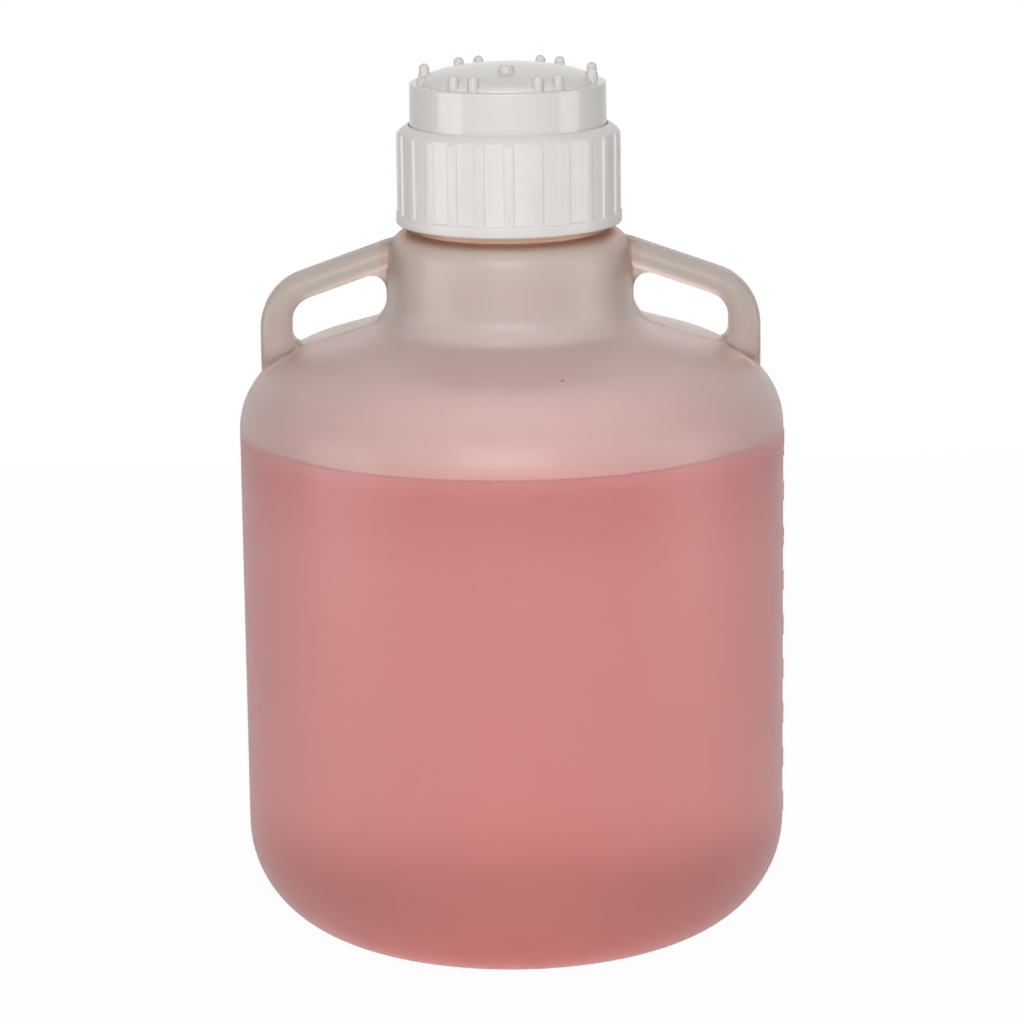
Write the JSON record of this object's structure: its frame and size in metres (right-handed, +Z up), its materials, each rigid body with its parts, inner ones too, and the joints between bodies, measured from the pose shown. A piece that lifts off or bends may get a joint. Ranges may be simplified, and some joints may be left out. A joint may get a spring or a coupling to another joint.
{
  "type": "laboratory carboy",
  "caption": "Translucent round plastic storage bottle with moulded carrying handles, filled with pink solution, closed by a ribbed screw ring that holds down a plug insert with closed spigots.",
  "frame": {"origin": "on the bottle's axis, in the plane that its foot ring stands on", "axes": "+Z up along the bottle's axis towards the closure; the two handles lie along X, the litre marks face +X; -Y is the front"},
  "size_m": [0.2504, 0.25, 0.4038],
  "materials": {
    "natural_plastic": "satin",
    "handle_plastic": "satin",
    "pink_solution": "gloss",
    "white_plastic": "satin",
    "insert_plastic": "satin",
    "seal_rubber": "matte"
  },
  "bodies": {
    "bottle": {"bottle_body": "natural_plastic", "bottle_shoulder": "natural_plastic", "bottle_neck": "natural_plastic", "threaded_mouth": "natural_plastic", "left_handle": "handle_plastic", "right_handle": "handle_plastic", "liquid": "pink_solution"},
    "closure": {"closure_insert": "insert_plastic", "gasket": "seal_rubber"},
    "ring": {"screw_ring": "white_plastic"}
  },
  "joints": [
    {"name": "closure_lift", "type": "slide", "parent": "bottle", "child": "closure", "axis": [0, 0, 1], "range_m": [0, 0.0386]},
    {"name": "ring_turn", "type": "hinge", "parent": "closure", "child": "ring", "pos_m": [0, 0, 0.35], "axis": [0, 0, 1], "range_deg": [0, 1980]}
  ],
  "couplings": [
    {"joint": "closure_lift", "follows": "ring_turn", "m_per_rad": 0.0011141}
  ]
}
